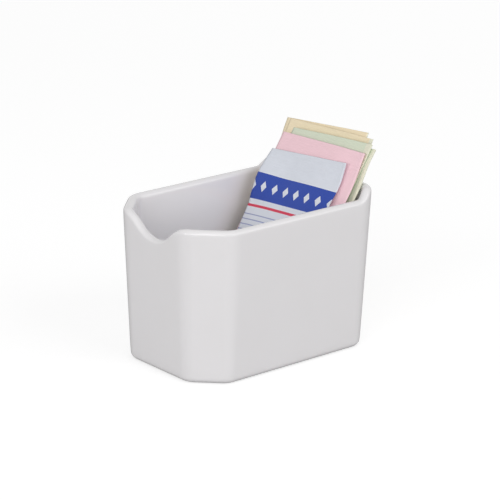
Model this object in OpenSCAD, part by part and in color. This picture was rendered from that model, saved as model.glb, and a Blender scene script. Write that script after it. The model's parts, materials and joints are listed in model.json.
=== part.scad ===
/* [Tub] */
// Length of the tub at the rim, from the notched end to the raised end
tub_l = 73; // [64:0.5:90]
// Room across the tub's floor beside its widest packet
side_room = 3.1; // [2.8:0.1:16]
// Height of the side rims above the table
tub_h = 51; // [42:0.5:56]
// Thickness of the walls
wall_t = 3.3; // [2.6:0.1:4]
// Thickness of the floor
floor_t = 5.5; // [3:0.1:7]
// How far each wall leans in between the rim and the table
draft = 2.4; // [2:0.1:2.6]
// Radius of the rounded edge where the walls meet the base
base_r = 2.2; // [1:0.1:3]
// Radius of the hollow where the inner walls meet the floor
floor_r = 1.6; // [0.8:0.1:1.8]

/* [Clipped corners] */
// Length that each clipped corner takes off the long sides
clip_l = 11.3; // [8:0.1:14]
// Width that each clipped corner takes off the notched end
clip_w = 11; // [8:0.1:13]
// Radius that softens both upright edges of a clipped corner
clip_r = 8.7; // [5:0.1:10]
// Radius of the upright corners at the raised end
corner_r = 7.6; // [6:0.1:8]

/* [Finger notch] */
// Depth of the notch below the side rims
notch_d = 6.7; // [3:0.1:8.5]
// Radius of the hollow at the bottom of the notch
notch_r = 11.5; // [9:0.5:16]
// Radius of the shoulders where the notch meets the rim
shoulder_r = 11; // [6:0.5:12]

/* [Raised end] */
// How far the end wall stands above the side rims
end_rise = 3.3; // [1:0.1:8]
// Length of the slope that leads up to the raised end
rise_run = 6; // [5:0.5:12]
// How far in from the end the slope is over
rise_back = 2.4; // [1.5:0.1:4]

/* [Packet paper and filling] */
// Thickness of one layer of the packets' paper
paper_t = 0.12; // [0.08:0.01:0.16]
// How much a packet swells over its flat seams in the middle
swell_t = 0.52; // [0.4:0.02:0.8]
// Space between the two layers where the filling tapers out
seam_gap = 0.04; // [0.03:0.01:0.06]
// Width of the crimped seal across each end of a packet
seal_w = 7; // [4:0.5:9]
// Width of the pressed fold along each side of a packet
fold_w = 1.2; // [0.8:0.1:3]
// Space between the filling and the paper
fill_gap = 0.05; // [0.04:0.01:0.08]
// Distance that the filling stays back from the edge of its pocket
fill_back = 1.6; // [1:0.1:4]

/* [Pile of packets] */
// Lean of the pile from upright, in degrees
lean = 33; // [26:0.5:37]
// Gap between neighbouring packets
packet_gap = 0.25; // [0.15:0.05:0.5]
// Gap between the last packet and the lip of the raised end
lip_gap = 0.6; // [0.5:0.05:1]
// Gap between the packets' lower corners and the floor
seat_gap = 0.25; // [0.2:0.05:0.5]

/* [White packet] */
// Width of the white packet
white_w = 35; // [30:0.5:42]
// Length of the white packet
white_l = 63; // [56:0.5:76]
// Turn of the white packet in the pile, in degrees, positive lifts its near corner
white_turn = 3.3; // [0:0.1:5]
// Space between the white packet's lower corner and the near wall
white_side = 1; // [0.8:0.1:2]

/* [Pink packet] */
// Width of the pink packet
pink_w = 38.5; // [34:0.5:42]
// Length of the pink packet
pink_l = 69; // [58:0.5:76]
// Turn of the pink packet in the pile, in degrees, negative lifts its far corner
pink_turn = -0.3; // [-2:0.1:0]
// Space between the pink packet's lower corner and the near wall
pink_side = 0.9; // [0.8:0.1:2]

/* [Front green packet] */
// Width of the front green packet
green_front_w = 34.5; // [30:0.5:42]
// Length of the front green packet
green_front_l = 71; // [60:0.5:78]
// Turn of the front green packet in the pile, in degrees, positive lifts its near corner
green_front_turn = 0.9; // [0:0.1:5]
// Space between the front green packet's lower corner and the near wall
green_front_side = 0.9; // [0.8:0.1:2]

/* [Back green packet] */
// Width of the back green packet
green_back_w = 38; // [32:0.5:42]
// Length of the back green packet
green_back_l = 71; // [60:0.5:78]
// Turn of the back green packet in the pile, in degrees, negative lifts its far corner
green_back_turn = -1.2; // [-2:0.1:0]
// Space between the back green packet's lower corner and the near wall
green_back_side = 0.9; // [0.8:0.1:2]

/* [Front yellow packet] */
// Width of the front yellow packet
yellow_front_w = 37.5; // [32:0.5:42]
// Length of the front yellow packet
yellow_front_l = 72.5; // [60:0.5:80]
// Turn of the front yellow packet in the pile, in degrees, positive lifts its near corner
yellow_front_turn = 1.8; // [0:0.1:4]
// Space between the front yellow packet's lower corner and the near wall
yellow_front_side = 1; // [0.8:0.1:2]

/* [Back yellow packet] */
// Width of the back yellow packet
yellow_back_w = 37; // [32:0.5:37]
// Length of the back yellow packet
yellow_back_l = 72; // [60:0.5:80]
// Turn of the back yellow packet in the pile, in degrees, positive lifts its near corner
yellow_back_turn = 4.2; // [0:0.1:4.4]
// Space between the back yellow packet's lower corner and the near wall
yellow_back_side = 0.9; // [0.8:0.1:1.1]

/* [Hidden] */

glaze_colour = [0.93, 0.93, 0.92];
white_colour = [0.88, 0.90, 0.94];
pink_colour = [0.94, 0.78, 0.82];
green_colour = [0.82, 0.88, 0.78];
yellow_colour = [0.95, 0.88, 0.70];
sweetener_colour = [0.97, 0.97, 0.96];

// Steps in each round stretch of the tub's outline, and extra places along its straight ones
clip_steps = 6;
corner_steps = 9;
notch_places = 15;
// Places along a long side that carry the slope up to the raised end, as shares of the straight stretch
slope_place_shares = [0.3, 0.6, 0.85, 0.96, 0.985];
// Steps in the round lip, the rounded base edge and the hollow round the floor
lip_steps = 4;
base_steps = 4;
floor_steps = 3;
// Heights between base and lip where the walls have a row of points, as shares
wall_shares = [0.2, 0.45, 0.7, 0.87];
// The part of the wall, from the table up, that the notch and the raised end leave as it is
still_share = 0.45;
// Cells across and along a packet's pocket and its filling
pocket_cells = [8, 10];
fill_cells = [6, 8];

// How far the solid runs on below the table before it is cut off there
base_cut = base_r / 2;

// The lip is a half round as thick as the wall, and no corner gets sharper than the least radius
lip_r = wall_t / 2;
least_r = wall_t / 8;

// Packets from the raised end to the front: [width, length, turn, space to the near wall]
packets = [
    [yellow_back_w, yellow_back_l, yellow_back_turn, yellow_back_side],
    [yellow_front_w, yellow_front_l, yellow_front_turn, yellow_front_side],
    [green_back_w, green_back_l, green_back_turn, green_back_side],
    [green_front_w, green_front_l, green_front_turn, green_front_side],
    [pink_w, pink_l, pink_turn, pink_side],
    [white_w, white_l, white_turn, white_side]
];

// Distance that the outer face is drawn in at a height, because the walls lean
function lean_in(z) = draft * (1 - z / tub_h);

// The widest packet sets the width between the walls at the floor, and so the width at the rim
floor_half_w = (max([for (p = packets) p[0]]) + side_room) / 2;
tub_w = 2 * (floor_half_w + wall_t + lean_in(floor_t));

// Sharp outline of the rim as straight sides: [outward normal in degrees, distance from the middle]
clip_turn = atan2(clip_l, clip_w);
clip_reach = (clip_w * tub_l / 2 + clip_l * (tub_w / 2 - clip_w)) / norm([clip_l, clip_w]);
sides = [
    [180, tub_l / 2],
    [180 + clip_turn, clip_reach],
    [270, tub_w / 2],
    [360, tub_l / 2],
    [450, tub_w / 2],
    [540 - clip_turn, clip_reach],
    [540, tub_l / 2]
];
// Radius, steps and places along the side before it, for each corner of that outline
corners = [
    [clip_r, clip_steps, [0.5]],
    [clip_r, clip_steps, slope_place_shares],
    [corner_r, corner_steps, [0.5]],
    [corner_r, corner_steps, [for (k = [len(slope_place_shares) - 1:-1:0]) 1 - slope_place_shares[k]]],
    [clip_r, clip_steps, [0.5]],
    [clip_r, clip_steps, [for (i = [1:notch_places]) i / (notch_places + 1)]]
];

// Centre of the arc that rounds the corner between two sides
function arc_centre(a, b, r) =
    [
        (a[1] - r) * sin(b[0]) - (b[1] - r) * sin(a[0]),
        (b[1] - r) * cos(a[0]) - (a[1] - r) * cos(b[0])
    ] / sin(b[0] - a[0]);

// Points of one rounded corner when the whole outline is drawn in by some distance
function corner_points(i, inset) =
    let (
        a = sides[i],
        b = sides[i + 1],
        r = max(corners[i][0] - inset, least_r),
        steps = corners[i][1]
    )
    [
        for (k = [0:steps])
            let (turn = a[0] + (b[0] - a[0]) * k / steps)
            arc_centre([a[0], a[1] - inset], [b[0], b[1] - inset], r) + r * [cos(turn), sin(turn)]
    ];

// Closed outline drawn in by some distance: each corner, then the places along the side after it
function outline(inset) =
    let (arcs = [for (i = [0:5]) corner_points(i, inset)])
    [
        for (i = [0:5])
            let (
                own = arcs[i],
                last = own[len(own) - 1],
                ahead = arcs[(i + 1) % 6][0]
            )
            each concat(own, [for (s = corners[i][2]) last + (ahead - last) * s])
    ];

// Depth of the finger notch at a distance from the tub's middle line: an arc that two shoulders meet
notch_sum_r = notch_r + shoulder_r;
notch_half_w = sqrt(2 * notch_sum_r * notch_d - notch_d * notch_d);
notch_turn_y = notch_half_w * notch_r / notch_sum_r;
function notch_at(y) =
    abs(y) >= notch_half_w ? 0
    : abs(y) <= notch_turn_y ? notch_d - notch_r + sqrt(notch_r * notch_r - y * y)
    : shoulder_r - sqrt(shoulder_r * shoulder_r - (notch_half_w - abs(y)) * (notch_half_w - abs(y)));

// Height of the rim at a point of the outline, measured from the side rims
function ease(t) = t <= 0 ? 0 : t >= 1 ? 1 : t * t * (3 - 2 * t);
rise_start = tub_l / 2 - rise_back - rise_run;
function rim_change(p) =
    p[0] < 0 ? -notch_at(p[1]) : end_rise * ease((p[0] - rise_start) / rise_run);

// Share of that change which a point of the wall takes at its own height
function change_share(z) = max(0, (z / tub_h - still_share) / (1 - still_share));

// Section of the wall as rows: [inset from the leaning outer face, height]. The first row lies below
// the table, where the base is cut flat
outer_rows = concat(
    [[base_r, -base_cut]],
    [
        for (k = [0:base_steps])
            let (a = 90 * k / base_steps)
            [base_r * (1 - sin(a)), base_r * (1 - cos(a))]
    ]
);
wall_rows = [for (s = wall_shares) [0, base_r + (tub_h - lip_r - base_r) * s]];
lip_rows = [
    for (k = [0:2 * lip_steps])
        let (a = 90 * k / lip_steps)
        [lip_r * (1 - cos(a)), tub_h - lip_r + lip_r * sin(a)]
];
inner_rows = [
    for (k = [len(wall_shares) - 1:-1:0])
        [wall_t, floor_t + floor_r + (tub_h - lip_r - floor_t - floor_r) * wall_shares[k]]
];
hollow_rows = [
    for (k = [0:floor_steps])
        let (a = 90 * k / floor_steps)
        [wall_t + floor_r * (1 - cos(a)), floor_t + floor_r * (1 - sin(a))]
];
rows = concat(outer_rows, wall_rows, lip_rows, inner_rows, hollow_rows);

// Outline of the rim, how far its top stands off the side rims' height, and the way out at each point
rim_line = outline(0);
rim_changes = [for (p = rim_line) rim_change(p)];
drawn_in = outline(least_r);
ways_out = [for (i = [0:len(rim_line) - 1]) (rim_line[i] - drawn_in[i]) / least_r];

// One row of points round the tub
function tub_row(row) =
    let (points = outline(row[0] + lean_in(row[1])))
    [
        for (i = [0:len(points) - 1])
            let (
                z = row[1] + rim_changes[i] * change_share(row[1]),
                p = points[i] + ways_out[i] * (lean_in(row[1]) - lean_in(z))
            )
            [p[0], p[1], z]
    ];

// Faces of a tube of closed rows of n points, closed at both ends by fans to a middle point
function tube_faces(rings, n) = [
    for (i = [0:n - 1])
        let (j = (i + 1) % n, top = (rings - 1) * n)
        each concat(
            [[rings * n, i, j], [rings * n + 1, top + j, top + i]],
            [
                for (r = [0:rings - 2])
                    let (a = r * n, b = a + n)
                    each [[a + i, b + i, b + j], [a + i, b + j, a + j]]
            ]
        )
];

module tub() {
    color(glaze_colour)
        difference() {
            polyhedron(
                points = concat([for (row = rows) each tub_row(row)], [[0, 0, -base_cut], [0, 0, floor_t]]),
                faces = tube_faces(len(rows), len(rim_changes)),
                convexity = 6
            );
            translate([-tub_l / 2, -tub_w / 2, -2 * base_cut])
                cube([tub_l, tub_w, 2 * base_cut]);
        }
}

// Thickness of a packet over its flat seams, and in the middle
seam_t = 2 * paper_t + seam_gap;
packet_t = seam_t + swell_t;

// Distance of the pile's last packet from the origin, measured square to the packets
lip_reach = (tub_l / 2 - lip_r) * cos(lean) - (tub_h + end_rise - lip_r) * sin(lean);
last_reach = lip_reach - lip_r - lip_gap - packet_t / 2;

// Puts a packet that is drawn upright, with its lower edge on the origin, into its place in the pile
module in_pile(i) {
    reach = last_reach - i * (packet_t + packet_gap);
    turn = packets[i][2];
    half_w = packets[i][0] / 2;
    corner_drop = half_w * abs(sin(turn)) + seam_t / 2 * tan(lean);
    height = (floor_t + seat_gap + reach * sin(lean)) / cos(lean) + corner_drop;
    rotate([0, lean, 0])
        translate([reach, packets[i][3] + half_w * cos(turn) - floor_half_w, height])
            rotate([-turn, 0, 0])
                children();
}

// How full a pocket is at a place in it, both given as shares of its half width and half length
function fullness(s, t) = (1 - pow(s, 4)) * (1 - pow(t, 4));

// Places of a row of cells that fills a length, centred on zero
function cell_places(length, cells) = [for (i = [0:cells]) length * (i / cells - 1 / 2)];

// Solid between two sheets over a grid of places, each sheet at a half thickness from the middle plane
module between_sheets(across, along, half_t) {
    n = len(across);
    m = len(along);
    side = n * m;
    rim = concat(
        [for (i = [0:n - 2]) i],
        [for (j = [0:m - 2]) j * n + n - 1],
        [for (i = [n - 1:-1:1]) (m - 1) * n + i],
        [for (j = [m - 1:-1:1]) j * n]
    );
    polyhedron(
        points = concat(
            [for (j = [0:m - 1], i = [0:n - 1]) [-half_t[j][i], across[i], along[j]]],
            [for (j = [0:m - 1], i = [0:n - 1]) [half_t[j][i], across[i], along[j]]]
        ),
        faces = concat(
            [
                for (j = [0:m - 2], i = [0:n - 2])
                    let (a = j * n + i, b = a + n)
                    each [[a, a + 1, b + 1], [a, b + 1, b]]
            ],
            [
                for (j = [0:m - 2], i = [0:n - 2])
                    let (a = side + j * n + i, b = a + n)
                    each [[a, b + 1, a + 1], [a, b, b + 1]]
            ],
            [
                for (k = [0:len(rim) - 1])
                    let (a = rim[k], b = rim[(k + 1) % len(rim)])
                    each [[a, b + side, b], [a, a + side, b + side]]
            ]
        ),
        convexity = 4
    );
}

// Half thickness of the swollen part over a grid of places in a pocket
function swollen(across, along, edge_t, swell) = [
    for (z = along) [
        for (y = across)
            edge_t / 2 + swell / 2 * fullness(y / max(across), z / max(along))
    ]
];

// A sheet's outline added round the grid of the pocket, where the paper lies flat
function with_border(places, half) = concat([-half], places, [half]);
function with_flat_border(half_t, edge_t) = concat(
    [[for (i = [0:len(half_t[0]) + 1]) edge_t / 2]],
    [for (row = half_t) concat([edge_t / 2], row, [edge_t / 2])],
    [[for (i = [0:len(half_t[0]) + 1]) edge_t / 2]]
);

// Paper envelope with an empty sealed pocket
module envelope(i) {
    w = packets[i][0];
    l = packets[i][1];
    across = cell_places(w - 2 * fold_w, pocket_cells[0]);
    along = cell_places(l - 2 * seal_w, pocket_cells[1]);
    in_pile(i)
        translate([0, 0, l / 2])
            difference() {
                between_sheets(
                    with_border(across, w / 2),
                    with_border(along, l / 2),
                    with_flat_border(swollen(across, along, seam_t, swell_t), seam_t)
                );
                between_sheets(across, along, swollen(across, along, seam_gap, swell_t));
            }
}

// Granules that lie in the pocket
module sweetener(i) {
    across = cell_places(packets[i][0] - 2 * (fold_w + fill_back), fill_cells[0]);
    along = cell_places(packets[i][1] - 2 * (seal_w + fill_back), fill_cells[1]);
    in_pile(i)
        translate([0, 0, packets[i][1] / 2])
            color(sweetener_colour)
                between_sheets(across, along, swollen(across, along, seam_gap, swell_t - 2 * fill_gap));
}

module white_envelope() {
    color(white_colour) envelope(5);
}

module white_sweetener() {
    sweetener(5);
}

module pink_envelope() {
    color(pink_colour) envelope(4);
}

module pink_sweetener() {
    sweetener(4);
}

module green_front_envelope() {
    color(green_colour) envelope(3);
}

module green_front_sweetener() {
    sweetener(3);
}

module green_back_envelope() {
    color(green_colour) envelope(2);
}

module green_back_sweetener() {
    sweetener(2);
}

module yellow_front_envelope() {
    color(yellow_colour) envelope(1);
}

module yellow_front_sweetener() {
    sweetener(1);
}

module yellow_back_envelope() {
    color(yellow_colour) envelope(0);
}

module yellow_back_sweetener() {
    sweetener(0);
}

tub();
white_envelope();
white_sweetener();
pink_envelope();
pink_sweetener();
green_front_envelope();
green_front_sweetener();
green_back_envelope();
green_back_sweetener();
yellow_front_envelope();
yellow_front_sweetener();
yellow_back_envelope();
yellow_back_sweetener();
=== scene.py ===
import json
import math

import bmesh
import bpy
from mathutils import Matrix, Vector, noise


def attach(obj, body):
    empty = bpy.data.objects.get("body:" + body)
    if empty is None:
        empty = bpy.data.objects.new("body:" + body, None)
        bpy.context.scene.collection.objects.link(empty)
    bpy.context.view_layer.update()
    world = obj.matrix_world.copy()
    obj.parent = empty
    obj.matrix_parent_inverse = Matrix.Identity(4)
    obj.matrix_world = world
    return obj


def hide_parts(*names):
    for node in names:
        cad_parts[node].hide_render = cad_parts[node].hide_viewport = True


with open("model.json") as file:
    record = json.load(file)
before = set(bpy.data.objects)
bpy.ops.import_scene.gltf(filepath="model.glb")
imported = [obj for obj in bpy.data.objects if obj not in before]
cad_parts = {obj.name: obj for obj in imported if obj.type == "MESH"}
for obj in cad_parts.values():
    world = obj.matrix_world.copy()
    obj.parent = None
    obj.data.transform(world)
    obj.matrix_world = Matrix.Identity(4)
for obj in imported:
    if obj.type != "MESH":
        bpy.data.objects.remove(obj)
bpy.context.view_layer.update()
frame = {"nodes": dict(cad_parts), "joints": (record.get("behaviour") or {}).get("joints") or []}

bl_info = {
    "name": "Packet holder",
    "version": (1, 0, 0),
    "blender": (4, 5, 0),
    "location": "View3D > Sidebar > Packet holder",
    "description": "Dresses the packet holder: glazed tub, leaning packets, their granules and the studio",
    "category": "Object",
}

MM = 0.001
WHITE = (1, 1, 1, 1)
PACKET_NAMES = ["white", "pink", "green_front", "green_back", "yellow_front", "yellow_back"]


# Shared helpers


def linear(hex_colour):
    """Linear RGBA of an sRGB colour written as #RRGGBB."""
    shares = [int(hex_colour[i : i + 2], 16) / 255 for i in (1, 3, 5)]
    return (*[s / 12.92 if s <= 0.04045 else ((s + 0.055) / 1.055) ** 2.4 for s in shares], 1.0)


def colour_property(name, hex_colour, description):
    """A colour a user can change, kept in linear values as Blender's colour fields are."""
    return bpy.props.FloatVectorProperty(
        name=name, description=description, subtype="COLOR", size=4, min=0, max=1, default=linear(hex_colour)
    )


def length_property(name, millimetres, description):
    """A length a user can change, in metres and shown in the scene's unit."""
    return bpy.props.FloatProperty(
        name=name,
        description=description,
        subtype="DISTANCE",
        unit="LENGTH",
        min=0,
        default=millimetres * MM,
    )


def share_property(name, share, description):
    """A share from 0 to 1 that a user can change."""
    return bpy.props.FloatProperty(
        name=name, description=description, subtype="FACTOR", min=0, max=1, default=share
    )


def power_property(name, watts, description):
    """The power of a lamp, which a user can change."""
    return bpy.props.FloatProperty(
        name=name, description=description, subtype="POWER", min=0, default=watts
    )


def angle_property(name, degrees, description):
    """An angle a user can change."""
    return bpy.props.FloatProperty(
        name=name, description=description, subtype="ANGLE", default=math.radians(degrees)
    )


def add_node(tree, kind, inputs=None, **settings):
    """Adds a node, sets its settings, and sets or links each input."""
    node = tree.nodes.new(kind)
    for name, value in settings.items():
        setattr(node, name, value)
    for key, value in (inputs or {}).items():
        if isinstance(value, bpy.types.NodeSocket):
            tree.links.new(value, node.inputs[key])
        else:
            node.inputs[key].default_value = value
    return node


def new_material(name):
    """An empty node material and its tree."""
    material = bpy.data.materials.new(name)
    material.use_nodes = True
    material.node_tree.nodes.clear()
    return material, material.node_tree


def piece_from(name, bm, material):
    """A shaded object from a bmesh, at the origin."""
    mesh = bpy.data.meshes.new(name)
    bm.to_mesh(mesh)
    bm.free()
    mesh.shade_smooth()
    mesh.materials.append(material)
    piece = bpy.data.objects.new(name, mesh)
    bpy.context.scene.collection.objects.link(piece)
    return piece


def smooth_step(low, high, value):
    """0 below low, 1 above high, and a soft climb between."""
    t = min(max((value - low) / (high - low), 0), 1)
    return t * t * (3 - 2 * t)


def hump(value, length):
    """0 at 0, 1 at half the length, and 0 again from the length on."""
    return math.sin(math.pi * min(value / length, 1))


# Materials


def glazed_porcelain(settings):
    """Porcelain, slip cast, fired and dip glazed."""
    # The glaze gives a clear gloss over a faintly wavy white body, with a few pinholes, and it
    # is wiped off the flat base, which stays dull and a little grey.
    material, tree = new_material("Glazed porcelain")
    where = add_node(tree, "ShaderNodeTexCoord").outputs["Object"]
    waves = add_node(
        tree,
        "ShaderNodeTexNoise",
        {"Vector": where, "Scale": 1 / settings.ripple_size, "Detail": 2.0, "Roughness": 0.4},
    )
    # A pinhole is at its deepest up to the first share of the pinholes' spacing, and ends at the second
    deep_share, rim_share = 0.012, 0.03
    pinholes = add_node(
        tree, "ShaderNodeTexVoronoi", {"Vector": where, "Scale": 1 / settings.pinhole_spacing}, feature="F1"
    )
    hole = add_node(
        tree,
        "ShaderNodeMapRange",
        {
            "Value": pinholes.outputs["Distance"],
            "From Min": deep_share,
            "From Max": rim_share,
            "To Min": 1.0,
            "To Max": 0.0,
        },
        interpolation_type="SMOOTHSTEP",
    )
    tone = add_node(
        tree,
        "ShaderNodeTexNoise",
        {"Vector": where, "Scale": 1 / settings.tone_size, "Detail": 3.0, "Roughness": 0.5},
    )
    glaze = add_node(
        tree,
        "ShaderNodeMix",
        {"Factor": tone.outputs["Fac"], "A": settings.glaze_colour, "B": settings.thin_glaze_colour},
        data_type="RGBA",
    )
    # The glaze thins out between these heights above the base
    bare_height, glazed_height = 0.05 * MM, 0.35 * MM
    height = add_node(tree, "ShaderNodeSeparateXYZ", {"Vector": where})
    wiped = add_node(
        tree,
        "ShaderNodeMapRange",
        {
            "Value": height.outputs["Z"],
            "From Min": bare_height,
            "From Max": glazed_height,
            "To Min": 1.0,
            "To Max": 0.0,
        },
        interpolation_type="SMOOTHSTEP",
    )
    grit = add_node(
        tree, "ShaderNodeTexNoise", {"Vector": where, "Scale": 1 / settings.grit_size, "Detail": 2.0}
    )
    body = add_node(
        tree,
        "ShaderNodeMix",
        {"Factor": wiped.outputs["Result"], "A": glaze.outputs["Result"], "B": settings.biscuit_colour},
        data_type="RGBA",
    )
    roughness = add_node(
        tree,
        "ShaderNodeMapRange",
        {
            "Value": wiped.outputs["Result"],
            "To Min": settings.glaze_roughness,
            "To Max": settings.biscuit_roughness,
        },
    )
    dent = add_node(
        tree,
        "ShaderNodeBump",
        {"Height": hole.outputs["Result"], "Strength": 0.25, "Distance": settings.dent_depth},
        invert=True,
    )
    ripple = add_node(
        tree,
        "ShaderNodeBump",
        {
            "Height": waves.outputs["Fac"],
            "Strength": 1.0,
            "Distance": settings.ripple_depth,
            "Normal": dent.outputs["Normal"],
        },
    )
    even_height = (0.5, 0.5, 0.5, 1)
    rough_base = add_node(
        tree,
        "ShaderNodeMix",
        {"Factor": wiped.outputs["Result"], "A": even_height, "B": grit.outputs["Color"]},
        data_type="RGBA",
    )
    surface = add_node(
        tree,
        "ShaderNodeBump",
        {
            "Height": rough_base.outputs["Result"],
            "Strength": 0.5,
            "Distance": settings.dent_depth,
            "Normal": ripple.outputs["Normal"],
        },
    )
    shader = add_node(
        tree,
        "ShaderNodeBsdfPrincipled",
        {
            "Base Color": body.outputs["Result"],
            "Roughness": roughness.outputs["Result"],
            "IOR": 1.5,
            "Normal": surface.outputs["Normal"],
        },
    )
    add_node(tree, "ShaderNodeOutputMaterial", {"Surface": shader.outputs[0]})
    return material


# The packets' map counts in units of 100 mm, and the back sheet's part starts half a unit across
MAP_MM = 100
BACK_START = 0.5


def print_shares(tree, place, settings, wide_print):
    """Where a packet's band, thin line and faint rules are inked, each as a share from 0 to 1."""
    # One broad band with a row of lozenges left bare in it, a thin line under it and faint rules
    # further down, all in millimetres. Only the front sheet has them, and it ends by 38.5 across.
    front_limit = 45
    print_middle, half_print = (50, 50) if wide_print else (18, 11)
    band_middle = settings.band_place / MM
    half_band = settings.band_height / MM / 2
    under_band = band_middle - half_band
    lozenge_pitch, half_lozenge, lozenge_slope = 5, 1.9, 1.5
    line_drop, half_line = 2.2, 0.45
    rule_pitch, half_rule, rule_shift, rule_strength = 1.8, 0.18, 0.4, 0.55
    rules_drop, half_rules = 8, 3.2
    # Each row makes one number: its name, the sum, and what goes into it
    sums = [
        ("front", "LESS_THAN", "across", front_limit),
        ("inside", "COMPARE", "across", print_middle, half_print),
        ("shown", "MULTIPLY", "inside", "front"),
        ("off_middle", "SUBTRACT", "along", band_middle),
        ("from_middle", "ABSOLUTE", "off_middle"),
        ("in_band", "LESS_THAN", "from_middle", half_band),
        ("column", "PINGPONG", "across", lozenge_pitch / 2),
        ("sloped", "MULTIPLY", "column", lozenge_slope),
        ("from_lozenge", "ADD", "sloped", "from_middle"),
        ("off_lozenge", "GREATER_THAN", "from_lozenge", half_lozenge),
        ("band", "MULTIPLY", "in_band", "off_lozenge"),
        ("inked", "MULTIPLY", "band", "shown"),
        ("line", "COMPARE", "along", under_band - line_drop, half_line),
        ("lined", "MULTIPLY", "line", "shown"),
        ("shifted", "ADD", "along", rule_shift),
        ("row", "PINGPONG", "shifted", rule_pitch / 2),
        ("rule", "LESS_THAN", "row", half_rule),
        ("near_rules", "COMPARE", "along", under_band - rules_drop, half_rules),
        ("rules", "MULTIPLY", "rule", "near_rules"),
        ("rules_shown", "MULTIPLY", "rules", "shown"),
        ("ruled", "MULTIPLY", "rules_shown", rule_strength),
    ]
    made = {"across": place.outputs["X"], "along": place.outputs["Y"]}
    for result, operation, *values in sums:
        inputs = {i: made[v] if isinstance(v, str) else v for i, v in enumerate(values)}
        made[result] = add_node(tree, "ShaderNodeMath", inputs, operation=operation).outputs[0]
    return made["inked"], made["lined"], made["ruled"]


def packet_paper(name, settings, colour, ink, line_ink, wide_print=False, bare_margin=0):
    """Coated packet paper, rolled smooth, printed and heat sealed."""
    # Thin paper with a low sheen: cloudy fibres, a grainy look where granules press through from
    # inside, and a flat printed band. A tinted paper is coloured by its print too, which can stop
    # short of the near fold. The map gives millimetres across and along the packet.
    material, tree = new_material(name)
    where = add_node(tree, "ShaderNodeUVMap", uv_map="Packet").outputs["UV"]
    millimetres = add_node(tree, "ShaderNodeMapping", {"Vector": where, "Scale": (MAP_MM, MAP_MM, 1)})
    place = add_node(tree, "ShaderNodeSeparateXYZ", {"Vector": millimetres.outputs["Vector"]})
    fibres = add_node(
        tree,
        "ShaderNodeTexNoise",
        {"Vector": millimetres.outputs["Vector"], "Scale": MM / settings.fibre_size, "Detail": 5.0},
    )
    grain = add_node(
        tree,
        "ShaderNodeTexNoise",
        {"Vector": millimetres.outputs["Vector"], "Scale": MM / settings.grain_pitch, "Detail": 2.0},
    )
    margin = add_node(
        tree, "ShaderNodeMath", {0: place.outputs["X"], 1: bare_margin / MM}, operation="LESS_THAN"
    )
    base = add_node(
        tree,
        "ShaderNodeMix",
        {"Factor": margin.outputs[0], "A": colour, "B": settings.bare_colour},
        data_type="RGBA",
    )
    paper = add_node(
        tree,
        "ShaderNodeMix",
        {"Factor": fibres.outputs["Fac"], "A": base.outputs["Result"], "B": settings.fibre_shade},
        data_type="RGBA",
        blend_type="MULTIPLY",
    )
    printed = paper
    shares = print_shares(tree, place, settings, wide_print)
    for share, print_colour in zip(shares, (ink, line_ink, ink)):
        printed = add_node(
            tree,
            "ShaderNodeMix",
            {"Factor": share, "A": printed.outputs["Result"], "B": print_colour},
            data_type="RGBA",
        )
    fibre_bump = add_node(
        tree,
        "ShaderNodeBump",
        {"Height": fibres.outputs["Fac"], "Strength": 0.4, "Distance": settings.fibre_depth},
    )
    bump = add_node(
        tree,
        "ShaderNodeBump",
        {
            "Height": grain.outputs["Fac"],
            "Strength": 0.5,
            "Distance": settings.grain_depth,
            "Normal": fibre_bump.outputs["Normal"],
        },
    )
    shader = add_node(
        tree,
        "ShaderNodeBsdfPrincipled",
        {
            "Base Color": printed.outputs["Result"],
            "Roughness": settings.paper_roughness,
            "IOR": 1.45,
            "Normal": bump.outputs["Normal"],
        },
    )
    add_node(tree, "ShaderNodeOutputMaterial", {"Surface": shader.outputs[0]})
    return material


def sweetener_granules(settings):
    """Granulated sweetener, dried and sieved."""
    # Loose white crystals: each grain catches the light on its own, so the heap sparkles dully
    material, tree = new_material("Sweetener granules")
    where = add_node(tree, "ShaderNodeTexCoord").outputs["Object"]
    grains = add_node(
        tree, "ShaderNodeTexVoronoi", {"Vector": where, "Scale": 1 / settings.grain_size}, feature="F1"
    )
    # Each grain keeps its own colour in the middle and darkens towards the gaps between grains: painted shade
    grain_colour_and_painted_shade = add_node(
        tree,
        "ShaderNodeMix",
        {"Factor": grains.outputs["Distance"], "A": settings.granule_colour, "B": settings.granule_shadow},
        data_type="RGBA",
    )
    bump = add_node(
        tree,
        "ShaderNodeBump",
        {"Height": grains.outputs["Distance"], "Strength": 0.8, "Distance": settings.grain_size / 2},
        invert=True,
    )
    shader = add_node(
        tree,
        "ShaderNodeBsdfPrincipled",
        {
            "Base Color": grain_colour_and_painted_shade.outputs["Result"],
            "Roughness": 0.45,
            "IOR": 1.54,
            "Normal": bump.outputs["Normal"],
        },
    )
    add_node(tree, "ShaderNodeOutputMaterial", {"Surface": shader.outputs[0]})
    return material


def studio_floor(settings):
    """Matt white paper roll under the object."""
    # Diffuse for every ray that lights the object. The camera sees it lifted to white, and the
    # object's soft shadow stays on it.
    material, tree = new_material("White paper roll")
    rays = add_node(tree, "ShaderNodeLightPath").outputs["Is Camera Ray"]
    roll = add_node(tree, "ShaderNodeBsdfDiffuse", {"Color": settings.floor_colour})
    lift = add_node(tree, "ShaderNodeEmission", {"Color": WHITE, "Strength": settings.floor_lift})
    both = add_node(tree, "ShaderNodeAddShader", {0: roll.outputs[0], 1: lift.outputs[0]})
    surface = add_node(
        tree, "ShaderNodeMixShader", {"Fac": rays, 1: roll.outputs[0], 2: both.outputs[0]}
    )
    add_node(tree, "ShaderNodeOutputMaterial", {"Surface": surface.outputs[0]})
    return material


# Sizes and colours a user would change


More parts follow.
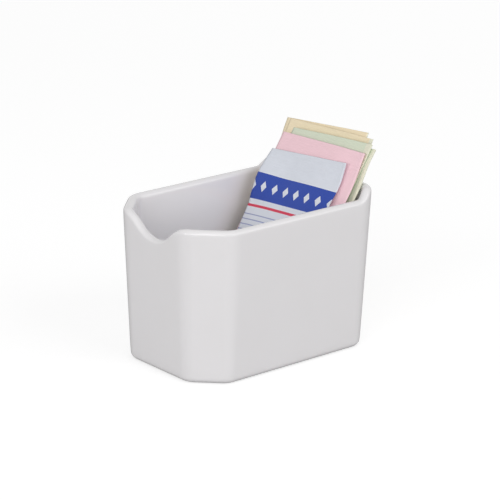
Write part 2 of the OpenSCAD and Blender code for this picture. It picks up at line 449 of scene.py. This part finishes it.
class TubSettings(bpy.types.PropertyGroup):
    """Glaze of the tub."""

    smoothness: bpy.props.IntProperty(
        name="Smoothness", description="Subdivision steps of the tub's surface", min=1, max=3, default=2
    )
    glaze_colour: colour_property("Glaze", "#EEECEE", "White of the glaze where it lies thick")
    thin_glaze_colour: colour_property("Thin glaze", "#EBE9EA", "White of the glaze where it lies thin")
    biscuit_colour: colour_property("Bare base", "#CFC9C0", "Unglazed porcelain under the tub")
    glaze_roughness: share_property("Glaze roughness", 0.07, "Roughness of the glaze")
    biscuit_roughness: share_property("Base roughness", 0.75, "Roughness of the unglazed base")
    tone_size: length_property("Tone size", 18, "Distance between thick and thin places of the glaze")
    ripple_size: length_property("Ripple size", 14, "Distance between the soft waves in the glaze")
    ripple_depth: length_property("Ripple depth", 0.12, "Depth of the soft waves in the glaze")
    pinhole_spacing: length_property("Pinhole spacing", 9, "Distance between pinholes in the glaze")
    dent_depth: length_property("Dent depth", 0.1, "Depth of the pinholes and of the base's grit")
    grit_size: length_property("Grit size", 0.5, "Size of the grit in the unglazed base")


class PacketSettings(bpy.types.PropertyGroup):
    """Shape, paper and print of the packets."""

    columns: bpy.props.IntProperty(
        name="Columns", description="Cells across a packet's paper", min=12, max=80, default=44
    )
    rows: bpy.props.IntProperty(
        name="Rows", description="Cells along a packet's paper", min=40, max=200, default=120
    )
    seal: length_property("Seal", 7, "Width of the crimped seal across each end")
    fold: length_property("Fold", 1.2, "Width of the pressed fold along each side")
    seam_half: length_property("Half seam", 0.13, "Half the thickness of the flat seams")
    slab_half: length_property("Half slab", 0.49, "How far a sheet may reach from its packet's middle plane")
    belly: length_property("Belly", 0.26, "How far the filling pushes each sheet out")
    # Real crimp ribs lie closer together. At 1 mm they still show in a render.
    rib_pitch: length_property("Rib pitch", 1.0, "Distance between the crimped ribs of a seal")
    rib_depth: length_property("Rib depth", 0.02, "Height of the crimped ribs of a seal")
    paper_room: length_property("Paper room", 0.12, "How far the granules stay inside the paper's outer face")
    foot_room: length_property("Foot room", 0.15, "How far the paper stays above the lower edge of its place")
    lap: length_property("Lap", 9, "Width of the glued lap down the back of a packet")
    lap_step: length_property("Lap step", 0.1, "Thickness of the paper at the lap's edge")
    front_bow: length_property("Front bow", 0.9, "How far the front packet bows towards the notch")
    edge_curl: length_property("Edge curl", 1.8, "How far the near side edges of the pile curl back")
    curl_width: length_property("Curl width", 13, "Width of the part of a packet that curls back")
    band_place: length_property("Band place", 49, "Height of the printed band above the packet's lower edge")
    band_height: length_property("Band height", 9, "Height of the printed band")
    green_margin: length_property("Green margin", 1.1, "Bare paper beside the green packets' near fold")
    yellow_margin: length_property("Yellow margin", 1.3, "Bare paper beside the yellow packets' near fold")
    fibre_size: length_property("Fibre size", 20 / 7, "Distance between clouds of fibre in the paper")
    fibre_shade: colour_property("Fibre shade", "#F7F7F7", "How dark the clouds of fibre are")
    fibre_depth: length_property("Fibre depth", 0.12, "Unevenness of the clouds of fibre")
    grain_pitch: length_property("Grain pitch", 5 / 7, "Distance between granules that press through")
    grain_depth: length_property("Grain depth", 0.1, "How much the granules press through the paper")
    paper_roughness: share_property("Paper roughness", 0.5, "Roughness of the paper")
    white_colour: colour_property("White paper", "#E3E7F0", "Paper of the front packet")
    pink_colour: colour_property("Pink paper", "#FFD9E1", "Paper of the pink packet")
    green_colour: colour_property("Green paper", "#E0E8D2", "Paper of the green packets")
    yellow_colour: colour_property("Yellow paper", "#FDEDCB", "Paper of the yellow packets")
    bare_colour: colour_property("Bare paper", "#EFEED8", "Paper beside the near fold, where the tint stops")
    blue_ink: colour_property("Blue ink", "#2747A6", "Band printed on the front packet")
    red_ink: colour_property("Red ink", "#D8405A", "Line printed on the front packet")
    pink_ink: colour_property("Pink ink", "#D98BA4", "Band printed on the pink packet")
    green_ink: colour_property("Green ink", "#8FB07C", "Band printed on the green packets")
    yellow_ink: colour_property("Yellow ink", "#D9B45E", "Band printed on the yellow packets")


class GranuleSettings(bpy.types.PropertyGroup):
    """Look of the granules inside the packets."""

    grain_size: length_property("Grain size", 0.5, "Size of one granule")
    granule_colour: colour_property("Granule", "#F6F5F1", "Colour of a granule")
    # The gaps between granules are darkened towards this colour: painted shade
    granule_shadow: colour_property("Between granules", "#DCDAD4", "Colour between granules")


class StageSettings(bpy.types.PropertyGroup):
    """Floor, light and camera."""

    floor_size: length_property("Floor size", 6000, "Length of each side of the floor")
    floor_colour: colour_property("Floor", "#C2C2C2", "Colour of the paper roll")
    floor_lift: share_property("Floor lift", 0.62, "White added to the floor for the camera")
    fill_light: share_property("Fill light", 0.47, "Strength of the light from all round")
    key_light: power_property("Key light", 3.7, "Power of the large lamp in front")
    second_light: power_property("Second light", 4.3, "Power of the lamp at the right")
    side_light: power_property("Side light", 1.4, "Power of the small lamp at the left")
    back_light: power_property("Back light", 5.5, "Power of the low lamp behind")
    camera_distance: length_property("Camera distance", 765, "Distance from the camera to the tub's middle")
    camera_azimuth: angle_property("Camera azimuth", -40.47, "Way round the tub")
    camera_elevation: angle_property("Camera elevation", 18.82, "Angle above the table")
    camera_roll: angle_property("Camera roll", 0.74, "Tilt of the picture")


# The tub


def make_tub(settings):
    """The CAD tub's own shape with its facets smoothed out, under a glaze."""
    weld = 0.002 * MM
    flat_angle, square_angle = math.radians(8), math.radians(50)
    bm = bmesh.new()
    bm.from_mesh(frame["nodes"]["tub"].data)
    bmesh.ops.remove_doubles(bm, verts=bm.verts, dist=weld)
    bmesh.ops.join_triangles(
        bm, faces=bm.faces, angle_face_threshold=flat_angle, angle_shape_threshold=square_angle
    )
    tub = piece_from("Glazed_tub", bm, glazed_porcelain(settings))
    smooth = tub.modifiers.new("Smooth", "SUBSURF")
    smooth.levels = smooth.render_levels = settings.smoothness
    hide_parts("tub")
    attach(tub, "tub")


# The packets

# How far the upper corners of a packet lie off its plain outline, in mm across to the far side
# and along to the top: the far corner, then the near one. Paper this thin never stays square.
CORNER_SHIFTS = {
    "white": ((-0.5, -0.3), (0.4, 0.5)),
    "pink": ((0, -0.6), (0.5, 0.9)),
    "green_front": ((0, -0.5), (-1.4, 1.4)),
    "green_back": ((0, -2.2), (-0.2, 0.2)),
    "yellow_front": ((1.2, -0.3), (0, 0)),
    "yellow_back": ((1.5, 0), (1.0, 0.3)),
}
# The share of a packet's length from which its outline bends to those corners
CORNER_START_SHARE = 0.78
# How each packet of the pile curls at its near side edge: its share of the whole curl, and how
# far below its upper edge, in mm, the curl grows and is full. The tub holds the last two straighter.
CURLS = {
    "pink": (1, -4, 12),
    "green_front": (1, -4, 12),
    "green_back": (1.1, 3, 15),
    "yellow_front": (0.7, -4, 12),
    "yellow_back": (0.3, -4, 12),
}
# The share of its curl that an edge has before it grows, and how high above the packet's foot
# the curl has set in
LEAST_CURL_SHARE = 0.35
CURL_FOOT = 25 * MM
# The front packet's near edge curls back and its far edge lifts: each one's share of the whole
# curl, and how far below the upper edge it ends
FRONT_NEAR_SHARE = 0.5
FRONT_NEAR_END = 13 * MM
FRONT_FAR_SHARE = 0.9
FRONT_FAR_END = 20 * MM
# What makes the sheets uneven, each with its size across and along the packet
LUMP = (8 * MM, 7 * MM)
SMALL_LUMP = (3.5 * MM, 3.5 * MM)
PUCKER = (2.6 * MM, 16 * MM)
WAVE = (17 * MM, 21 * MM)
WAVE_HEIGHT = 0.22 * MM
# How much of the swell is even, and how much the lumps, the small lumps on them and the puckers add
EVEN_SHARE = 0.75
LUMP_SHARE = 0.45
SMALL_LUMP_SHARE = 0.5
PUCKER_SHARE = 0.6
# How far apart the packets lie in the noise, so that no two are uneven alike
SEED_STEP = 11.3
# How far the puckers reach from a seal, and the seal's soft edge
PUCKER_REACH = 5 * MM
SEAL_EDGE = 0.8 * MM
# Each sheet starts flat, this far in front of or behind the middle plane, so that its side tells
# the two apart
SHEET_START = 0.5 * MM
# The granules end this many folds and seals short of the packet's width and length. In thin places
# they are drawn in by at most this share of the space between the sheets from each.
FOLDS_LEFT_EMPTY = 3
SEALS_LEFT_EMPTY = 2.2
MOST_INSET_SHARE = 0.45
# How much of its thickness the lap still shows once it is glued and pressed
PRESSED_SHARE = 0.8
# How close to a crease a point has to be to count as on it
ON_CREASE = 0.02 * MM


def packet_place(name):
    """Where a CAD envelope lies: middle, way across, way along, way to the back, width and length."""
    joint = next(j for j in frame["joints"] if j["name"] == f"{name}_packet_lift")
    lift = Vector(joint["axis"]).normalized()
    back = Vector((lift.z, 0, -lift.x))
    points = [v.co.copy() for v in frame["nodes"][f"{name}_envelope"].data.vertices]
    depth = [p.dot(back) for p in points]
    middle_depth = (min(depth) + max(depth)) / 2
    corners = [
        min(points, key=lambda p: p.dot(lift)),
        min(points, key=lambda p: p.y),
        max(points, key=lambda p: p.dot(lift)),
        max(points, key=lambda p: p.y),
    ]
    flat = [p + back * (middle_depth - p.dot(back)) for p in corners]
    first, second = flat[1] - flat[0], flat[2] - flat[1]
    across, along = (first, second) if first.length < second.length else (second, first)
    across = across if across.y > 0 else -across
    along = along if along.dot(lift) > 0 else -along
    middle = sum(flat, Vector()) / 4
    return middle, across.normalized(), along.normalized(), back, across.length, along.length


def uneven(x, y, size, seed):
    """Smooth noise about 0, with its own size across and along."""
    return noise.noise(Vector((x / size[0], y / size[1], seed)))


def sheet_depth(x, y, width, length, sheet, settings, seed, bowed):
    """How far a point of one sheet stands off the packet's middle plane, towards the back."""
    seal_start = length / 2 - settings.seal
    to_fold = min(abs(x) / (width / 2 - settings.fold), 1)
    to_seal = min(abs(y) / seal_start, 1)
    full = (1 - to_fold**4) * (1 - to_seal**4)
    lumps = uneven(x, y, LUMP, seed + 3 * sheet)
    lumps += SMALL_LUMP_SHARE * uneven(x, y, SMALL_LUMP, seed + 5 * sheet)
    near_seal = math.exp(-max(seal_start - abs(y), 0) / PUCKER_REACH)
    puckers = uneven(x, y, PUCKER, seed + 7 * sheet) * near_seal
    swell = full * (EVEN_SHARE + LUMP_SHARE * lumps + PUCKER_SHARE * puckers)
    half = settings.seam_half + settings.belly * swell
    wave = WAVE_HEIGHT * uneven(x, y, WAVE, seed + 20) * (1 - full)
    in_seal = smooth_step(seal_start, seal_start + SEAL_EDGE, abs(y))
    ribs = settings.rib_depth * math.sin(2 * math.pi * y / settings.rib_pitch) * in_seal
    depth = sheet * half + wave + ribs
    depth = min(max(depth, -settings.slab_half), settings.slab_half)
    return depth - settings.front_bow * full if bowed and sheet < 0 else depth


def edge_curl(name, x, y, width, length, settings):
    """How far a packet's near side edge curls back. The front packet's far edge lifts forward."""
    from_top = length / 2 - y
    near = 1 - smooth_step(0, settings.curl_width, x + width / 2)
    if name == "white":
        far = 1 - smooth_step(0, settings.curl_width, width / 2 - x)
        curled = FRONT_NEAR_SHARE * near * hump(from_top, FRONT_NEAR_END)
        return settings.edge_curl * (curled - FRONT_FAR_SHARE * far * hump(from_top, FRONT_FAR_END))
    share, start, end = CURLS[name]
    grown = LEAST_CURL_SHARE + (1 - LEAST_CURL_SHARE) * smooth_step(start * MM, end * MM, from_top)
    return share * settings.edge_curl * near * grown * smooth_step(0, CURL_FOOT, y + length / 2)


def settle_points(bm, name, settings, inset):
    """Moves a flat double grid's points to where the packet's sheets lie, and the packet to its place."""
    middle, across, along, back, width, length = packet_place(name)
    bowed = name == "white"
    seed = SEED_STEP * PACKET_NAMES.index(name)
    # The back's outer flap reaches from the far fold over the lap, to the crease at its edge
    flap_edge = -settings.lap / 2 - ON_CREASE
    for v in bm.verts:
        x, y, sheet = v.co.x, v.co.y, 1 if v.co.z > 0 else -1
        depth = sheet_depth(x, y, width, length, sheet, settings, seed, bowed)
        if inset:
            other = sheet_depth(x, y, width, length, -sheet, settings, seed, bowed)
            depth -= sheet * min(inset, MOST_INSET_SHARE * abs(depth - other))
        elif sheet > 0 and x > flap_edge:
            depth = min(depth + settings.lap_step * PRESSED_SHARE, settings.slab_half)
        v.co.z = depth + edge_curl(name, x, y, width, length, settings)
    bmesh.ops.transform(
        bm,
        matrix=Matrix.Translation(middle) @ Matrix((across, along, back)).transposed().to_4x4(),
        verts=bm.verts,
    )
    bmesh.ops.recalc_face_normals(bm, faces=bm.faces)


def double_sheet(bm):
    """Adds a second sheet behind a flat one and closes them round the outline."""
    made = bmesh.ops.extrude_face_region(bm, geom=bm.faces[:], use_keep_orig=True)
    for v in made["geom"]:
        if isinstance(v, bmesh.types.BMVert):
            v.co.z = SHEET_START
    bmesh.ops.recalc_face_normals(bm, faces=bm.faces)


def make_granules(name, settings, material):
    """The portion of granules that fills one pouch up to its seals and folds."""
    width, length = packet_place(name)[4:]
    filled_width = width - FOLDS_LEFT_EMPTY * settings.fold
    filled_length = length - SEALS_LEFT_EMPTY * settings.seal
    bm = bmesh.new()
    bmesh.ops.create_grid(bm, x_segments=settings.columns // 2, y_segments=settings.rows // 3, size=0.5)
    for v in bm.verts:
        v.co = Vector((v.co.x * filled_width, v.co.y * filled_length, -SHEET_START))
    double_sheet(bm)
    settle_points(bm, name, settings, settings.paper_room)
    granules = piece_from(f"{name}_granules", bm, material)
    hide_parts(f"{name}_sweetener")
    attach(granules, f"{name}_packet")


def row_height(share, length, settings):
    """How high a row of the grid lies above the packet's foot, from its share of the rows."""
    # The seals carry fine ribs, so nearly a third of the rows goes to each
    seal_share = 0.3
    seal = settings.seal
    if share < seal_share:
        height = seal * share / seal_share
    elif share > 1 - seal_share:
        height = length - seal * (1 - share) / seal_share
    else:
        height = seal + (length - 2 * seal) * (share - seal_share) / (1 - 2 * seal_share)
    return height + settings.foot_room * (1 - height / length)


def make_packet(name, settings, material):
    """One pouch: two sheets that swell over the granules, crimped ends, pressed sides and a back lap."""
    width, length = packet_place(name)[4:]
    far, near = [Vector((*shift, 0)) * MM for shift in CORNER_SHIFTS[name]]
    bm = bmesh.new()
    bmesh.ops.create_grid(bm, x_segments=settings.columns, y_segments=settings.rows, size=0.5)
    for v in bm.verts:
        height = row_height(v.co.y + 0.5, length, settings)
        plain = Vector((v.co.x * width, height - length / 2, -SHEET_START))
        bent = smooth_step(CORNER_START_SHARE, 1, height / length)
        v.co = plain + near.lerp(far, v.co.x + 0.5) * bent
    for place in (-settings.lap / 2 - settings.lap_step, -settings.lap / 2):
        bmesh.ops.bisect_plane(
            bm,
            geom=bm.verts[:] + bm.edges[:] + bm.faces[:],
            plane_co=(place, 0, 0),
            plane_no=(1, 0, 0),
            dist=ON_CREASE / 2,
        )
    double_sheet(bm)
    place_map = bm.loops.layers.uv.new("Packet")
    for face in bm.faces:
        start = BACK_START if face.calc_center_median().z > SHEET_START / 2 else 0
        for loop in face.loops:
            p = loop.vert.co
            loop[place_map].uv = (
                (p.x + width / 2) / MM / MAP_MM + start,
                (p.y + length / 2) / MM / MAP_MM,
            )
    settle_points(bm, name, settings, 0)
    packet = piece_from(f"{name}_pouch", bm, material)
    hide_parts(f"{name}_envelope")
    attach(packet, f"{name}_packet")


# Floor, light and camera

# The point that the lamps face and the camera turns about, at the tub's middle
AIM = Vector((0, 0, 25.5 * MM))
# Each lamp's place and width, in metres, and whether glossy surfaces mirror it. The low lamp behind
# only keeps the back from going grey, and its reflection would be a glint on the rim.
LAMPS = {
    "Key": (Vector((-0.86, -0.6, 0.42)), 0.7, True),
    "Second": (Vector((0.36, -0.98, 0.52)), 1.0, True),
    "Side": (Vector((-1.0, -0.05, 0.32)), 0.2, True),
    "Back": (Vector((1.1, 1.18, 0.225)), 0.4, False),
}
# The photo's width, where the lens axis meets it, and how many of its pixels the focal length spans
PHOTO_PX = 500
AXIS_PX = (240.37, 273.64)
FOCAL_PX = 2371.87
SENSOR_WIDTH = 36.0


def area_lamp(name, power):
    """A square soft lamp that faces the tub."""
    place, size, mirrored = LAMPS[name]
    lamp = bpy.data.lights.new(name, "AREA")
    lamp.size = size
    lamp.energy = power
    holder = bpy.data.objects.new(name, lamp)
    holder.location = place
    holder.visible_glossy = mirrored
    holder.rotation_euler = (AIM - place).to_track_quat("-Z", "Y").to_euler()
    bpy.context.scene.collection.objects.link(holder)


def make_world(settings):
    """Even light from all round, which the camera and reflections see as white."""
    world = bpy.data.worlds.new("Studio")
    world.use_nodes = True
    tree = world.node_tree
    tree.nodes.clear()
    rays = add_node(tree, "ShaderNodeLightPath")
    camera_or_gloss = add_node(
        tree,
        "ShaderNodeMath",
        {0: rays.outputs["Is Camera Ray"], 1: rays.outputs["Is Glossy Ray"]},
        operation="MAXIMUM",
    )
    seen = add_node(
        tree,
        "ShaderNodeMath",
        {0: camera_or_gloss.outputs[0], 1: rays.outputs["Is Transmission Ray"]},
        operation="MAXIMUM",
    )
    fill = add_node(tree, "ShaderNodeBackground", {"Color": WHITE, "Strength": settings.fill_light})
    white = add_node(tree, "ShaderNodeBackground", {"Color": WHITE, "Strength": 1.0})
    surface = add_node(
        tree, "ShaderNodeMixShader", {"Fac": seen.outputs[0], 1: fill.outputs[0], 2: white.outputs[0]}
    )
    add_node(tree, "ShaderNodeOutputWorld", {"Surface": surface.outputs[0]})
    bpy.context.scene.world = world


def make_camera(settings):
    """The photograph's viewpoint, lens, tilt and framing."""
    turn, rise = settings.camera_azimuth, settings.camera_elevation
    back = Vector((math.sin(turn) * math.cos(rise), -math.cos(turn) * math.cos(rise), math.sin(rise)))
    right = (-back).cross(Vector((0, 0, 1))).normalized()
    up = right.cross(-back)
    roll = settings.camera_roll
    tilted_right = right * math.cos(roll) + up * math.sin(roll)
    tilted_up = up * math.cos(roll) - right * math.sin(roll)
    lens = bpy.data.cameras.new("Camera")
    lens.sensor_width = SENSOR_WIDTH
    lens.lens = FOCAL_PX / PHOTO_PX * SENSOR_WIDTH
    lens.shift_x = (PHOTO_PX / 2 - AXIS_PX[0]) / PHOTO_PX
    lens.shift_y = (AXIS_PX[1] - PHOTO_PX / 2) / PHOTO_PX
    lens.clip_start = 10 * MM
    camera = bpy.data.objects.new("Camera", lens)
    camera.matrix_world = Matrix.Translation(AIM + back * settings.camera_distance) @ Matrix(
        (tilted_right, tilted_up, back)
    ).transposed().to_4x4()
    bpy.context.scene.collection.objects.link(camera)
    bpy.context.scene.camera = camera


def make_floor(settings):
    """A wide plain floor at the table's height."""
    bm = bmesh.new()
    bmesh.ops.create_grid(bm, x_segments=1, y_segments=1, size=settings.floor_size / 2)
    floor = piece_from("Floor", bm, studio_floor(settings))


# Operators


class HOLDER_OT_tub(bpy.types.Operator):
    """Make the glazed tub"""

    bl_idname = "holder.tub"
    bl_label = "Tub"

    def execute(self, context):
        make_tub(context.scene.holder_tub)
        return {"FINISHED"}


class HOLDER_OT_packets(bpy.types.Operator):
    """Make the six paper packets"""

    bl_idname = "holder.packets"
    bl_label = "Packets"

    def execute(self, context):
        s = context.scene.holder_packets
        papers = {
            "white": packet_paper(
                "Coated white paper", s, s.white_colour, s.blue_ink, s.red_ink, wide_print=True
            ),
            "pink": packet_paper("Coated pink paper", s, s.pink_colour, s.pink_ink, s.pink_ink),
            "green": packet_paper(
                "Coated green paper", s, s.green_colour, s.green_ink, s.green_ink, bare_margin=s.green_margin
            ),
            "yellow": packet_paper(
                "Coated yellow paper",
                s,
                s.yellow_colour,
                s.yellow_ink,
                s.yellow_ink,
                bare_margin=s.yellow_margin,
            ),
        }
        for name in PACKET_NAMES:
            make_packet(name, s, papers[name.split("_")[0]])
        return {"FINISHED"}


class HOLDER_OT_granules(bpy.types.Operator):
    """Make the granules in the packets"""

    bl_idname = "holder.granules"
    bl_label = "Granules"

    def execute(self, context):
        material = sweetener_granules(context.scene.holder_granules)
        for name in PACKET_NAMES:
            make_granules(name, context.scene.holder_packets, material)
        return {"FINISHED"}


class HOLDER_OT_stage(bpy.types.Operator):
    """Make the floor, the light and the camera"""

    bl_idname = "holder.stage"
    bl_label = "Stage"

    def execute(self, context):
        s = context.scene.holder_stage
        make_floor(s)
        make_world(s)
        area_lamp("Key", s.key_light)
        area_lamp("Second", s.second_light)
        area_lamp("Side", s.side_light)
        area_lamp("Back", s.back_light)
        make_camera(s)
        context.scene.view_settings.view_transform = "Standard"
        return {"FINISHED"}


class HOLDER_PT_panel(bpy.types.Panel):
    """Lists the steps that dress the packet holder"""

    bl_idname = "HOLDER_PT_panel"
    bl_label = "Packet holder"
    bl_space_type = "VIEW_3D"
    bl_region_type = "UI"
    bl_category = "Packet holder"

    def draw(self, context):
        for step in STEPS:
            self.layout.operator(step.bl_idname)


SETTINGS = {
    "holder_tub": TubSettings,
    "holder_packets": PacketSettings,
    "holder_granules": GranuleSettings,
    "holder_stage": StageSettings,
}
STEPS = [HOLDER_OT_tub, HOLDER_OT_packets, HOLDER_OT_granules, HOLDER_OT_stage]


def register():
    """Registers the classes and puts the settings on the scene."""
    for cls in [*SETTINGS.values(), *STEPS, HOLDER_PT_panel]:
        bpy.utils.register_class(cls)
    for name, cls in SETTINGS.items():
        setattr(bpy.types.Scene, name, bpy.props.PointerProperty(type=cls))


def unregister():
    """Takes both away again."""
    for name in SETTINGS:
        delattr(bpy.types.Scene, name)
    for cls in reversed([*SETTINGS.values(), *STEPS, HOLDER_PT_panel]):
        bpy.utils.unregister_class(cls)


def main():
    """Makes every piece and the stage."""
    register()
    bpy.ops.holder.tub()
    bpy.ops.holder.packets()
    bpy.ops.holder.granules()
    bpy.ops.holder.stage()


if __name__ == "__main__":
    main()
